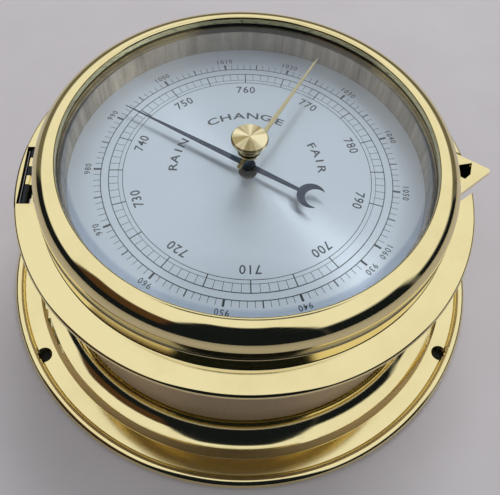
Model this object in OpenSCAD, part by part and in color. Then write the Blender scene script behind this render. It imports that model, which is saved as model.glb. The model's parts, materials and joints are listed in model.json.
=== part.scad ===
// Marine barometer: a brass case for a wall or a table, with a hinged glazed door, an engraved dial,
// a set hand with its knob and an aneroid movement. Millimetres. +Z is the front of the dial, +Y is
// 12 o'clock, and the origin is the centre of the flange's back face.

/* [Case] */
// Width of the mounting flange outside the drum
flange_w = 20; // [19:0.5:24]
// Thickness of the flange plate
flange_t = 2.4; // [2:0.1:3]
// Diameter of the rolled bead round the flange
bead_d = 4; // [3.4:0.1:4.6]
// How far the drum stands out from the bezel's foot
drum_out = 1.4; // [1.1:0.1:1.7]
// Wall of the drum
drum_wall = 1.8; // [1.4:0.1:2.2]
// Height of the seat that the door closes on
case_h = 52.2; // [48:0.1:57]
// Clearance of the movement under that seat
seat_clear = 0.6; // [0.4:0.1:1.4]
// Radius of the cove between drum and flange
cove_r = 8; // [6:0.5:9]
// How far the rim at the top of the drum stands out
rim_out = 1.3; // [1.1:0.1:1.4]
// Thickness of that rim
rim_t = 3; // [2.6:0.1:3.6]
// Thickness of the ledge that carries the movement
ledge_t = 2; // [1.6:0.1:2.6]

/* [Mounting] */
// Diameter of the three mounting holes
mount_hole_d = 4.2; // [3.4:0.1:4.6]
// Distance of their centres from the flange's edge
mount_in = 5; // [4.8:0.1:7]
// Diameter of their countersinks
mount_sink_d = 5.8; // [5.4:0.1:6.2]

/* [Door] */
// Width of the door's flange outside the bezel's foot
door_w = 8.2; // [7.9:0.1:9]
// Thickness of the door's flange
door_t = 2.4; // [2.2:0.1:2.8]
// Gap between the closed door and the case
seat_gap = 0.2; // [0.15:0.05:0.3]
// Thickness of the bezel's wall
bezel_wall = 3.6; // [3.2:0.1:4]
// Width of the bezel's foot outside its wall
foot_w = 2.4; // [1.6:0.1:2.8]
// Height of the foot above the door's flange
foot_h = 2.6; // [2:0.1:3.2]
// Width of the seat that the glass bears on
glass_seat = 2.4; // [2:0.1:3]
// How far the opening over the glass is smaller than the dial, on the radius
opening_in = 0.6; // [0.3:0.1:1]
// Radius of the bezel's roll
roll_r = 4.8; // [4.4:0.1:5]
// Height of the bezel's top over the back of the door's flange
bezel_h = 19.2; // [18.9:0.1:20]
// Thickness of the glass
glass_t = 2; // [1.6:0.1:2.4]
// Thickness of the gasket behind the glass
gasket_t = 0.8; // [0.5:0.1:1]
// Height of the ring that holds the glass
retainer_t = 1.2; // [1:0.1:1.6]

/* [Hinge] */
// Distance of the hinge slot from the bezel's foot
slot_out = 1.7; // [1.5:0.1:1.9]
// Outer diameter of the knuckles
knuckle_d = 3; // [2.8:0.1:3.1]
// Length of one knuckle
knuckle_l = 3.8; // [3.4:0.1:4]
// Diameter of the hinge pin
hinge_pin_d = 1.6; // [1.2:0.1:1.8]
// Length of the slot in the door's flange
slot_l = 24; // [23.4:0.1:26]
// Width of that slot
slot_w = 4.6; // [4.5:0.05:4.7]
// Thickness of the hinge leaves
leaf_t = 1.2; // [1:0.1:1.3]

/* [Latch] */
// Turn of the latch from 3 o'clock towards 12 o'clock, in degrees
latch_at = 2.3; // [0:0.1:3]
// How far the tab's point stands out from the door's flange
tab_out = 8.1; // [6:0.1:10]
// Half the width of the tab at its base
tab_half = 11; // [9.5:0.1:11.5]
// Thickness of the tab
tab_t = 2.2; // [1.8:0.1:2.4]
// Gap round the tab in the door's flange
tab_gap = 1.5; // [1.4:0.05:1.7]
// Diameter of the latch pin
latch_pin_d = 1.5; // [1.2:0.1:1.7]
// Height of the case's seat over the latch pin
latch_drop = 6.2; // [5.8:0.1:6.6]

/* [Dial] */
// Diameter of the dial plate
dial_d = 121.6; // [114:0.1:130]
// Thickness of the dial plate
dial_t = 1; // [0.8:0.1:1.4]
// Height of the dial's face over the case's seat
dial_rise = 4.5; // [4.2:0.1:5]
// Wall of the sight ring
sight_wall = 1.5; // [1:0.1:2]
// Diameter of the hole in the dial for the arbor
dial_hole_d = 6.4; // [5:0.2:8]

/* [Hands] */
// Length of the pressure needle from its axis
needle_l = 49.7; // [44:0.1:52]
// Bearing of the pressure needle, clockwise from 12 o'clock
needle_at = 301.8; // [280:0.1:320]
// Height of the needle over the dial
needle_rise = 3; // [2.6:0.1:3.4]
// Distance of the crescent's centre from the axis
crescent_l = 23.5; // [20:0.5:28]
// Outer diameter of the crescent
crescent_d = 9.4; // [8:0.1:11]
// Length of the set hand from its axis
set_hand_l = 52; // [44:0.5:54]
// Bearing of the set hand, clockwise from 12 o'clock
set_hand_at = 30; // [10:1:60]
// Diameter of the set hand's knob
knob_d = 11.8; // [10:0.1:13]
// Height of the knob
knob_h = 4.6; // [4:0.1:6]
// Diameter of the set hand's shaft
set_shaft_d = 2.6; // [2:0.1:3]

/* [Movement] */
// Module of the teeth
tooth_m = 0.4; // [0.38:0.01:0.42]
// Teeth on the pinion
pinion_n = 14; // [14:1:15]
// Turns of the pinion for one turn of the sector
gear_up = 10; // [10:1:10]
// Diameter of one aneroid capsule
capsule_d = 48; // [44:1:49]
// Length of the sector's tail
tail_l = 5; // [4.6:0.1:5.2]
// Distance from the rocking shaft to the capsule's post
lift_l = 5.5; // [5.2:0.1:6]
// Diameter of the pointer's arbor
arbor_d = 1.8; // [1.5:0.1:2]
// Running clearance of a shaft in its bearing, on the radius
run_gap = 0.04; // [0.02:0.01:0.06]
// Length of the post on the capsules
post_l = 2.65; // [2.4:0.05:3.6]
// Thickness of the movement's plates
plate_t = 1.5; // [1.3:0.1:1.7]

/* [Hidden] */
$fn = 96;
eps = 0.01;
// Seat between two pieces of one body that are screwed or dropped together
fit = 0.05;

// Radii, from the dial outwards
opening_r = dial_d / 2 - opening_in;
bezel_in = opening_r + glass_seat;
bezel_r = bezel_in + bezel_wall;
foot_r = bezel_r + foot_w;
door_r = foot_r + door_w;
drum_r = foot_r + drum_out;
bore_r = drum_r - drum_wall;
rim_r = drum_r + rim_out;
flange_r = drum_r + flange_w;
bead_r = bead_d / 2;
ledge_r = bore_r - 6.2;
cover_t = 1.6;
cover_r = bore_r - 0.8;
inner_bead_r = 1.2;
mount_r = flange_r - mount_in;

// Heights of the movement: its bridge hangs from the seat, and the capsules fill the room that is left
ledge_z = flange_t;
base_z = ledge_z + ledge_t;
base_t = 2;
base_r = bore_r - 0.6;
boss_h = 2;
boss_r = 6;
cock_top = case_h - seat_clear;
cock_z = cock_top - plate_t;
plate_top = cock_z - 8.6;
plate_z = plate_top - plate_t;
plate_rise = plate_z - base_z - base_t;
sector_z = plate_top + 4;
sector_t = 1.4;
shaft_z = plate_z - 4.4;
lift_t = 0.8;
post_gap = 0.15;
post_top = shaft_z - lift_t - post_gap;
capsules = 3;
hub_h = 1.2;
hub_r = 3;
stack_z = base_z + base_t + boss_h + 0.2;
stack_h = post_top - post_l - stack_z;
capsule_h = (stack_h - (capsules + 1) * hub_h) / capsules;

// Heights of the case and the door
rim_z = case_h - rim_t;
door_z = case_h + seat_gap;
door_top = door_z + door_t;
bezel_top = door_z + bezel_h;
lip_t = 2.4;
glass_top = bezel_top - lip_t;
glass_z = glass_top - glass_t;
gasket_z = glass_z - gasket_t;
retainer_z = gasket_z - retainer_t;
retainer_in = opening_r + 0.7;

knuckle_r = knuckle_d / 2;
hinge_z = door_z + 0.1;
knuckle_gap = 0.16;
knuckles = 5;
hinge_l = knuckles * knuckle_l;
hinge_y1 = slot_l / 2 - 0.3;
hinge_y0 = hinge_y1 - hinge_l;
slot_x0 = foot_r + slot_out;
slot_x1 = slot_x0 + slot_w;
hinge_x = slot_x1 - 0.25 - knuckle_r;
leaf_in = 4.4;
// How far the case's leaf reaches in from the rim's edge
leaf_w = 3.6;
leaf_screw_d = 1.4;

tab_base_x = foot_r + 1;
tab_x = door_r + tab_out;
tab_tip = 0.8;
pocket_floor = 0.6;
latch_pin_z = case_h - latch_drop;
tab_z = door_top + 0.2 - tab_t;
tab_slope = tab_half / (tab_x - tab_base_x);
// The notch round the tab sits off centre, with most of its gap on the 6 o'clock side
notch_turn = asin((tab_gap - 0.85) / (door_r * cos(atan(tab_slope))));
latch_pin_x = drum_r + 3.4;
leg_in = 3.4;
leg_out = 5.6;

dial_z = case_h + dial_rise;
carrier_t = 2;
carrier_r = rim_r - 4;
carrier_in = dial_d / 2 + 0.1;
carrier_wall = 1.1;
dial_seat = 3.8;
sight_r = dial_d / 2 - 0.1;
sight_top = retainer_z - 0.2;

needle_z = dial_z + needle_rise;
needle_t = 0.5;
needle_hub_r = 2.5;
set_z = retainer_z + 0.2;
set_t = 0.5;
bush_r = set_shaft_d / 2 + 1;
nut_t = gasket_t;
knob_z = glass_top + 0.9;

plate_r = 44;
plate_y = -8;
pinion_r = tooth_m * pinion_n / 2;
sector_n = pinion_n * gear_up;
sector_r = tooth_m * sector_n / 2;
pivot_y = -(pinion_r + sector_r);
backlash = 0.06;
pressure_angle = 25;
tooth_up = 0.9 * tooth_m;
tooth_down = 1.2 * tooth_m;
sector_half_n = 10;
// The rocking shaft lies under the lower plate, and its finger stands behind the sector's tail pin
finger_t = 1;
finger_w = 1.6;
finger_gap = 0.16;
tail_pin_r = 0.6;
shaft_y = pivot_y - tail_pin_r - finger_gap - finger_t / 2;
finger_top = sector_z - 0.6;
tail_pin_z = finger_top - 1;
lift_y = shaft_y + lift_l;
post_r = 1.2;
pillars_at = [[33, -26], [-33, -26], [20, 22], [-20, 22]];
bridge_reach = 13;
// The bridge stands on three posts, the last beyond the sector's pivot
cock_posts_at = [[plate_r / 2, plate_r / 4], [-plate_r / 2, plate_r / 4], [0, pivot_y - bridge_reach]];
screw_d = 2;

// Shapes that repeat

// A ring with a square section
module ring(r_in, r_out, z, h) {
    translate([0, 0, z])
        difference() {
            cylinder(r = r_out, h = h);
            translate([0, 0, -1]) cylinder(r = r_in, h = h + 2);
        }
}

// A box given by its two corners
module block(a, b) {
    translate(a) cube(b - a);
}

// Copies of a child round the axis, clockwise bearings from 12 o'clock
module around(r, bearings) {
    for (a = bearings) rotate([0, 0, -a]) translate([0, r, 0]) children();
}

// A cheese head screw with its slot: the head's seat is at z = 0 and the shank hangs below
module screw(d, shank, head_h) {
    difference() {
        union() {
            cylinder(r = d, h = head_h, $fn = 32);
            translate([0, 0, -shank]) cylinder(r = d / 2, h = shank + eps, $fn = 32);
        }
        translate([-d - 1, -d * 0.14, head_h * 0.5]) cube([2 * d + 2, d * 0.28, head_h]);
    }
}

// A countersunk screw: its head is flush with z = 0 and the shank hangs below
module flat_screw(d, length) {
    difference() {
        union() {
            translate([0, 0, -length]) cylinder(r = d / 2, h = length, $fn = 32);
            translate([0, 0, -d / 2]) cylinder(r1 = d / 2, r2 = d, h = d / 2, $fn = 32);
        }
        translate([-d - 1, -d * 0.12, -d * 0.28]) cube([2 * d + 2, d * 0.24, d]);
    }
}

// The hole that such a screw drops into, open above z = 0
module flat_screw_hole(d, length) {
    translate([0, 0, -length]) cylinder(r = d / 2 + fit, h = length + eps, $fn = 32);
    translate([0, 0, -d / 2]) cylinder(r1 = d / 2 + fit, r2 = d + fit, h = d / 2 + eps, $fn = 32);
}

// Involute flank: the half angle of a tooth at radius r, for a gear with pitch radius rp
function inv(a) = tan(a) * 180 / PI - a;
function half_tooth(r, rp) =
    let (rb = rp * cos(pressure_angle), a = acos(min(1, rb / max(r, rb))))
    (PI * tooth_m / 2 - backlash) / (2 * rp) * 180 / PI + inv(pressure_angle) - inv(a);
function polar(r, a) = [r * sin(a), r * cos(a)];
// One tooth, from its left root to its right root, about bearing a
function tooth(rp, a) =
    let (r0 = rp - tooth_down, r1 = rp + tooth_up, rs = [r0, rp - tooth_down * 0.5, rp, (rp + r1) / 2, r1])
    concat([for (r = rs) polar(r, a - half_tooth(r, rp))],
           [for (i = [len(rs) - 1:-1:0]) polar(rs[i], a + half_tooth(rs[i], rp))]);

// Case

// The turned section of flange, cove, drum and rim
module case_section() {
    difference() {
        union() {
            translate([cover_r + 0.2, 0]) square([flange_r - bead_r - cover_r - 0.2, flange_t]);
            translate([flange_r - bead_r, bead_r]) circle(r = bead_r);
            translate([drum_r + cove_r + 1.4, flange_t]) circle(r = inner_bead_r);
            translate([bore_r, 0]) square([drum_r + cove_r - bore_r, flange_t + cove_r]);
            translate([bore_r, flange_t]) square([drum_wall, case_h - rim_t / 2 - flange_t]);
            translate([ledge_r, ledge_z]) square([bore_r - ledge_r + eps, ledge_t]);
            translate([bore_r - 4.2, rim_z]) square([rim_r - bore_r + 4.2, rim_t]);
        }
        translate([drum_r + cove_r, flange_t + cove_r]) circle(r = cove_r);
        translate([0, case_h - carrier_t]) square([carrier_r + 0.2, carrier_t + 1]);
    }
}

module case_body() {
    color("goldenrod")
        difference() {
            rotate_extrude($fn = 180) case_section();
            around(mount_r, [0, 120, 240]) {
                translate([0, 0, -1]) cylinder(r = mount_hole_d / 2, h = flange_t + 3, $fn = 48);
                translate([0, 0, flange_t - (mount_sink_d - mount_hole_d) / 2])
                    cylinder(r1 = mount_hole_d / 2, r2 = mount_sink_d / 2 + 1,
                             h = (mount_sink_d - mount_hole_d) / 2 + 1, $fn = 48);
            }
            // Pocket for the case's hinge leaf
            block([-rim_r - 1, hinge_y0 - 0.1, case_h - leaf_t - fit],
                  [-rim_r + leaf_w + 0.1, hinge_y1 + 0.1, case_h + 1]);
            for (y = leaf_screws_y) translate([leaf_screw_x, y, case_h])
                flat_screw_hole(leaf_screw_d, 2.6);
            around(base_screw_r, base_screws_at)
                translate([0, 0, ledge_z - 1]) cylinder(r = screw_d / 2 + fit, h = ledge_t + 2, $fn = 32);
            around(cover_screw_r, cover_screws_at)
                translate([0, 0, ledge_z - 1]) cylinder(r = screw_d / 2 + fit, h = ledge_t + 2, $fn = 32);
            around(carrier_screw_r, carrier_screws_at)
                translate([0, 0, rim_z - 1]) cylinder(r = screw_d / 2 + fit, h = rim_t + 2, $fn = 32);
        }
}

base_screw_r = (ledge_r + bore_r) / 2;
base_screws_at = [0, 120, 240];
cover_screw_r = (ledge_r + cover_r) / 2;
cover_screws_at = [45, 135, 225, 315];
carrier_screw_r = (bezel_in + carrier_r) / 2;
carrier_screws_at = [60, 180, 300];
leaf_screw_x = -rim_r + leaf_w / 2 + 0.1;
leaf_screws_y = [hinge_y0 + hinge_l * 0.2, hinge_y1 - hinge_l * 0.2];
calibration_hole_r = 4.5;

module back_cover() {
    color("darkgoldenrod")
        difference() {
            translate([0, 0, ledge_z - cover_t]) cylinder(r = cover_r, h = cover_t, $fn = 180);
            translate([0, lift_y, -1]) cylinder(r = calibration_hole_r, h = flange_t + 2, $fn = 48);
            around(cover_screw_r, cover_screws_at)
                translate([0, 0, ledge_z - cover_t]) mirror([0, 0, 1])
                    flat_screw_hole(screw_d, cover_t + 1);
        }
}

module back_cover_screws() {
    color("gold")
        around(cover_screw_r, cover_screws_at)
            translate([0, 0, ledge_z - cover_t]) mirror([0, 0, 1])
                flat_screw(screw_d, cover_t + ledge_t * 0.8);
}

// The movement's base plate, screwed to the ledge, with the calibration screw's threaded boss
module movement_base() {
    color("goldenrod")
        difference() {
            union() {
                translate([0, 0, base_z]) cylinder(r = base_r, h = base_t, $fn = 180);
                translate([0, lift_y, base_z]) cylinder(r = boss_r, h = base_t + boss_h, $fn = 64);
            }
            translate([0, lift_y, base_z - 1])
                cylinder(r = calibration_r + run_gap, h = base_t + boss_h + 2, $fn = 48);
            around(base_screw_r, base_screws_at)
                translate([0, 0, base_z - 1]) cylinder(r = screw_d / 2 + fit, h = base_t + 2, $fn = 32);
            // Lightening holes in the half of the plate that the capsules leave free
            for (a = [-54, 0, 54])
                rotate([0, 0, a]) translate([0, base_r * 0.58, base_z - 1])
                    cylinder(r = base_r * 0.11, h = base_t + 2);
        }
}

module base_screws() {
    color("gold")
        around(base_screw_r, base_screws_at)
            translate([0, 0, base_z + base_t]) screw(screw_d, base_t + ledge_t * 0.8, 1.2);
}

// Dial

module dial_carrier() {
    color("darkgoldenrod")
        difference() {
            rotate_extrude($fn = 180)
                union() {
                    translate([carrier_in - dial_seat, case_h - carrier_t])
                        square([carrier_r - carrier_in + dial_seat, carrier_t]);
                    translate([carrier_in - dial_seat, case_h - carrier_t])
                        square([carrier_wall, dial_z - dial_t - case_h + carrier_t]);
                    translate([carrier_in - dial_seat, dial_z - dial_t - carrier_wall])
                        square([dial_seat + carrier_wall, carrier_wall]);
                    translate([carrier_in, case_h - carrier_t])
                        square([carrier_wall, dial_z + 0.9 - case_h + carrier_t]);
                }
            around(carrier_screw_r, carrier_screws_at)
                translate([0, 0, case_h]) flat_screw_hole(screw_d, carrier_t + 1);
        }
}

module carrier_screws() {
    color("gold")
        around(carrier_screw_r, carrier_screws_at)
            translate([0, 0, case_h]) flat_screw(screw_d, carrier_t + (rim_t - carrier_t) * 0.8);
}

module dial() {
    color("gainsboro") ring(dial_hole_d / 2, dial_d / 2, dial_z - dial_t, dial_t, $fn = 180);
}

module sight_ring() {
    color("darkkhaki") ring(sight_r - sight_wall, sight_r, dial_z, sight_top - dial_z, $fn = 180);
}

// Hinge

// Knuckles i of the hinge, bored for the pin and spaced by the knuckle gap
module knuckle_row(which, bore) {
    for (i = which)
        translate([-hinge_x, hinge_y1 - i * knuckle_l - knuckle_gap / 2, hinge_z])
            rotate([90, 0, 0])
                difference() {
                    cylinder(r = knuckle_r, h = knuckle_l - knuckle_gap, $fn = 48);
                    translate([0, 0, -1]) cylinder(r = bore, h = knuckle_l + 2, $fn = 48);
                }
}

// Arms that join those knuckles to their leaf
module knuckle_arms(which, x1, z0, z1, bore) {
    for (i = which)
        difference() {
            block([-hinge_x, hinge_y1 - (i + 1) * knuckle_l + knuckle_gap / 2, z0],
                  [x1, hinge_y1 - i * knuckle_l - knuckle_gap / 2, z1]);
            translate([-hinge_x, hinge_y1 + 1, hinge_z])
                rotate([90, 0, 0]) cylinder(r = bore, h = hinge_l + 2, $fn = 48);
        }
}

module hinge_case_leaf() {
    x1 = -rim_r + leaf_w;
    color("dimgray")
        difference() {
            union() {
                knuckle_row([0, 2, 4], hinge_pin_d / 2);
                knuckle_arms([0, 2, 4], x1, case_h - leaf_t, case_h, hinge_pin_d / 2);
                block([-rim_r + 0.2, hinge_y0 + 0.1, case_h - leaf_t], [x1, hinge_y1 - 0.1, case_h]);
            }
            for (y = leaf_screws_y) translate([leaf_screw_x, y, case_h]) flat_screw_hole(leaf_screw_d, 3);
        }
}

module case_leaf_screws() {
    color("gold")
        for (y = leaf_screws_y) translate([leaf_screw_x, y, case_h]) flat_screw(leaf_screw_d, 2.4);
}

module hinge_pin() {
    color("lightgray")
        translate([-hinge_x, hinge_y1, hinge_z])
            rotate([90, 0, 0]) cylinder(r = hinge_pin_d / 2, h = hinge_l + 0.6, $fn = 48);
}

module hinge_door_leaf() {
    x0 = -slot_x0 - 0.1;
    color("gold")
        difference() {
            union() {
                knuckle_row([1, 3], hinge_pin_d / 2 + run_gap);
                knuckle_arms([1, 3], x0 + 1, door_z + 0.05, door_z + leaf_t, hinge_pin_d / 2 + run_gap);
                block([x0, hinge_y0 + 0.1, door_z + 0.05],
                      [x0 + leaf_in, hinge_y1 - 0.1, door_z + leaf_t]);
            }
            door_leaf_screw_holes();
        }
}

module door_leaf_screw_holes() {
    for (y = leaf_screws_y)
        translate([-slot_x0 + leaf_in / 2, y, door_z]) mirror([0, 0, 1]) flat_screw_hole(leaf_screw_d, 2);
}

module door_leaf_screws() {
    color("gold")
        for (y = leaf_screws_y)
            translate([-slot_x0 + leaf_in / 2, y, door_z]) mirror([0, 0, 1]) flat_screw(leaf_screw_d, 1.8);
}

// Latch

// The tab's outline, grown by a gap at its slanting sides
module tab_outline(x0, gap) {
    side = gap / cos(atan(tab_slope));
    tip = tab_x + side / tab_slope;
    y0 = (tip - x0) * tab_slope;
    polygon([[x0, -y0], [tip, 0], [x0, y0]]);
}

// A pull tab on two legs that straddle the bracket, with a five-sided pocket at its base
module latch_lever() {
    x0 = tab_base_x;
    pocket = [[x0 + 2.9, -2], [x0 + 3.8, 2.6], [x0 + 9.1, 3.4], [x0 + 7.3, -1.6], [x0 + 4.9, -3.5]];
    color("gold")
        rotate([0, 0, latch_at])
        difference() {
            union() {
                difference() {
                    translate([0, 0, tab_z])
                        linear_extrude(tab_t)
                            intersection() {
                                tab_outline(tab_base_x, 0);
                                translate([0, -tab_x]) square([tab_x - tab_tip, 2 * tab_x]);
                            }
                    translate([0, 0, tab_z + pocket_floor]) linear_extrude(tab_t) polygon(pocket);
                }
                for (s = [-1, 1])
                    translate([0, (leg_in + leg_out) / 2 * s + (leg_out - leg_in) / 2, 0])
                        rotate([90, 0, 0])
                            linear_extrude(leg_out - leg_in)
                                union() {
                                    translate([latch_pin_x, latch_pin_z]) circle(r = 1.4, $fn = 48);
                                    translate([latch_pin_x - 1.4, latch_pin_z])
                                        square([2.6, tab_z - latch_pin_z + 0.2]);
                                }
            }
            translate([latch_pin_x, 2 * leg_out, latch_pin_z])
                rotate([90, 0, 0]) cylinder(r = latch_pin_d / 2 + run_gap, h = 4 * leg_out, $fn = 48);
        }
}

module latch_bracket() {
    ear = leg_in - 0.2;
    color("goldenrod")
        rotate([0, 0, latch_at])
        difference() {
            union() {
                block([drum_r - 2, -ear, latch_pin_z - 3.4], [latch_pin_x, ear, latch_pin_z + 1.6]);
                translate([latch_pin_x, ear, latch_pin_z]) rotate([90, 0, 0])
                    cylinder(r = 1.6, h = 2 * ear);
            }
            cylinder(r = drum_r + 0.02, h = case_h, $fn = 180);
            translate([latch_pin_x, 2 * leg_out, latch_pin_z])
                rotate([90, 0, 0]) cylinder(r = latch_pin_d / 2, h = 4 * leg_out, $fn = 48);
        }
}

module latch_pin() {
    color("lightgray")
        rotate([0, 0, latch_at])
        translate([latch_pin_x, leg_out + 0.2, latch_pin_z])
            rotate([90, 0, 0]) cylinder(r = latch_pin_d / 2, h = 2 * leg_out + 0.4, $fn = 48);
}

// A blade spring under the bracket, which bends up beside the drum behind the lever's legs
module latch_spring() {
    blade = 0.3;
    z0 = latch_pin_z - 3.4 - blade;
    color("silver")
        rotate([0, 0, latch_at])
        difference() {
            union() {
                block([drum_r + 0.2, -leg_out, z0], [latch_pin_x + 0.4, leg_out, z0 + blade]);
                block([drum_r + 0.2, -leg_in, z0 - 4], [drum_r + 0.2 + blade, leg_in, z0 + blade]);
                for (s = [-1, 1])
                    translate([0, (leg_in + leg_out) / 2 * s, 0])
                        block([latch_pin_x + 0.1, -(leg_out - leg_in) / 2 + 0.2, z0],
                              [latch_pin_x + 0.4, (leg_out - leg_in) / 2 - 0.2, latch_pin_z - 1.6]);
            }
            cylinder(r = drum_r + 0.04, h = case_h, $fn = 180);
        }
}

// Door

// The turned section of the door: flange, foot, wall and roll
module bezel_section() {
    roll_x = bezel_r - roll_r;
    roll_z = bezel_top - roll_r;
    edge = door_t / 2;
    foot_round = 1.2;
    difference() {
        union() {
            translate([bezel_in, door_z]) square([door_r - edge - bezel_in, door_t]);
            translate([door_r - edge, door_z + edge]) circle(r = edge, $fn = 12);
            translate([bezel_in, door_z]) square([foot_r - foot_round - bezel_in, door_t + foot_h]);
            translate([bezel_in, door_z]) square([foot_r - bezel_in, door_t + foot_h - foot_round]);
            translate([foot_r - foot_round, door_top + foot_h - foot_round])
                circle(r = foot_round, $fn = 48);
            translate([bezel_in, door_z]) square([bezel_r - bezel_in, roll_z - door_z]);
            translate([roll_x, roll_z]) circle(r = roll_r);
            translate([opening_r, glass_top]) square([roll_x - opening_r + 1, lip_t - 0.4]);
        }
        translate([0, door_z - 1]) square([bezel_in, glass_top - door_z + 1]);
        translate([0, door_z - 1]) square([opening_r, bezel_h + 2]);
    }
}

module bezel() {
    color("gold")
        difference() {
            rotate_extrude($fn = 180) bezel_section();
            // Slot over the knuckles
            block([-slot_x1, -slot_l / 2, door_z - 1], [-slot_x0, slot_l / 2, door_top + 1]);
            // Pocket for the door's hinge leaf
            block([-slot_x0 - 1, hinge_y0, door_z - 1],
                  [-slot_x0 + leaf_in, hinge_y1, door_z + leaf_t + fit]);
            door_leaf_screw_holes();
            // Notch round the latch's tab
            rotate([0, 0, latch_at - notch_turn])
                translate([0, 0, door_z - 1])
                    linear_extrude(door_t + 2) tab_outline(tab_base_x - 0.2, tab_gap);
        }
}

module glass() {
    color("lightcyan", 0.4) ring(bush_r + fit, bezel_in - 0.2, glass_z, glass_t, $fn = 180);
}

module glass_gasket() {
    color("black") ring(retainer_in, bezel_in - 0.2, gasket_z, gasket_t, $fn = 180);
}

module retaining_ring() {
    color("goldenrod") ring(retainer_in, bezel_in - 0.02, retainer_z, retainer_t, $fn = 180);
}

// Hands

module set_hand_bush() {
    color("goldenrod")
        difference() {
            union() {
                translate([0, 0, glass_z - nut_t]) cylinder(r = bush_r, h = glass_t + nut_t + eps);
                translate([0, 0, glass_top]) cylinder(r = bush_r + 1.4, h = 0.6);
            }
            translate([0, 0, glass_z - 3]) cylinder(r = set_shaft_d / 2 + run_gap, h = 9, $fn = 48);
        }
}

module bush_nut() {
    color("gold") ring(bush_r + 0.02, bush_r + 1.3, glass_z - nut_t, nut_t, $fn = 64);
}

module set_hand_washer() {
    color("silver") ring(set_shaft_d / 2 + fit, bush_r + 0.8, knob_z - 0.25, 0.2, $fn = 64);
}

// A turned knob: neck, coned back, plain edge and coned face
module knob() {
    r = knob_d / 2;
    color("gold")
        translate([0, 0, knob_z])
            rotate_extrude()
                polygon([[set_shaft_d / 2, 0], [r * 0.55, 0], [r * 0.55, knob_h * 0.3],
                         [r - 0.5, knob_h * 0.52],
                         [r, knob_h * 0.62], [r, knob_h * 0.8], [r - 0.35, knob_h * 0.88],
                         [r * 0.3, knob_h], [0, knob_h], [0, knob_h * 0.7],
                         [set_shaft_d / 2, knob_h * 0.7]]);
}

// The set hand and the shaft that carries it through the glass
module set_hand() {
    hub = bush_r + 0.4;
    color("gold")
        union() {
            translate([0, 0, set_z]) cylinder(r = hub, h = gasket_z - set_z - 0.1, $fn = 64);
            translate([0, 0, set_z])
                cylinder(r = set_shaft_d / 2, h = knob_z + knob_h * 0.68 - set_z, $fn = 48);
            rotate([0, 0, -set_hand_at])
                translate([0, 0, set_z])
                    linear_extrude(set_t)
                        polygon([[-0.9, 0], [-0.35, set_hand_l - 3], [0, set_hand_l],
                                 [0.35, set_hand_l - 3], [0.9, 0], [0.6, -7], [-0.6, -7]]);
        }
}

module needle_hub() {
    color("dimgray")
        difference() {
            translate([0, 0, needle_z - 0.8])
                rotate_extrude($fn = 64)
                    polygon([[0, 0], [1.7, 0], [1.7, 0.8], [needle_hub_r, 0.8 + needle_t],
                             [needle_hub_r - 0.3, 1.9], [1, 2.1], [0, 2.1]]);
            translate([0, 0, needle_z - 2]) cylinder(r = arbor_d / 2 - 0.2, h = 3, $fn = 32);
            rotate([0, 0, -needle_at])
                translate([-1.1, -needle_l, needle_z - fit]) cube([2.2, 2 * needle_l, needle_t + 2 * fit]);
        }
}

// A tapered blade whose tail carries a crescent with its horns turned outwards
module pressure_needle() {
    tail = crescent_l - crescent_d / 2;
    color("midnightblue")
        rotate([0, 0, -needle_at])
            translate([0, 0, needle_z])
                difference() {
                    union() {
                        linear_extrude(needle_t)
                            polygon([[-1, 0], [-0.5, needle_l * 0.6], [0, needle_l],
                                     [0.5, needle_l * 0.6], [1, 0],
                                     [0.55, -tail - 0.8], [-0.55, -tail - 0.8]]);
                        difference() {
                            translate([0, -crescent_l, 0])
                                cylinder(r = crescent_d / 2, h = needle_t, $fn = 64);
                            translate([0, -crescent_l - crescent_d * 0.2, -1])
                                cylinder(r = crescent_d * 0.4, h = needle_t + 2, $fn = 64);
                        }
                    }
                    translate([0, 0, -1]) cylinder(r = arbor_d / 2 - 0.2, h = needle_t + 2, $fn = 32);
                }
}

// Movement

calibration_r = 2;

// The screw that raises or lowers the capsules, slotted for a screwdriver through the back
module calibration_screw() {
    z0 = ledge_z - cover_t + 0.6;
    color("silver")
        difference() {
            union() {
                translate([0, lift_y, z0]) cylinder(r = 3.4, h = base_z - z0 - 0.3, $fn = 48);
                translate([0, lift_y, z0]) cylinder(r = calibration_r, h = stack_z - z0 - 0.05, $fn = 48);
            }
            translate([-4, lift_y - 0.5, z0 - 1]) cube([8, 1, 2.2]);
        }
}

// One corrugated capsule: two dished discs brazed at their edge, as one turned section
module capsule_section() {
    r = capsule_d / 2;
    half = capsule_h / 2;
    waves = 4;
    steps = 40;
    function wave(x) = half * (0.80 - 0.5 * pow(x / r, 3)) + 0.38 * cos(360 * waves * x / r);
    top = [for (i = [0:steps]) [hub_r + (r - 0.8 - hub_r) * i / steps,
                                wave(hub_r + (r - 0.8 - hub_r) * i / steps)]];
    polygon(concat([[0, half], [hub_r, half]], top, [[r, 0.5], [r, -0.5]],
                   [for (i = [steps:-1:0]) [top[i][0], -top[i][1]]], [[hub_r, -half], [0, -half]]));
}

module capsule_stack() {
    color("silver")
        translate([0, lift_y, stack_z])
            union() {
                cylinder(r = hub_r, h = stack_h, $fn = 48);
                for (i = [0:capsules - 1])
                    translate([0, 0, hub_h + capsule_h / 2 + i * (capsule_h + hub_h)])
                        rotate_extrude() capsule_section();
            }
}

module capsule_post() {
    z0 = stack_z + stack_h + 0.02;
    color("gold")
        translate([0, lift_y, 0])
            union() {
                translate([0, 0, z0]) cylinder(r = post_r, h = post_top - post_r - z0, $fn = 48);
                translate([0, 0, post_top - post_r]) sphere(r = post_r, $fn = 48);
                translate([0, 0, z0]) cylinder(r = hub_r - 0.6, h = 0.6, $fn = 48);
            }
}

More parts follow.
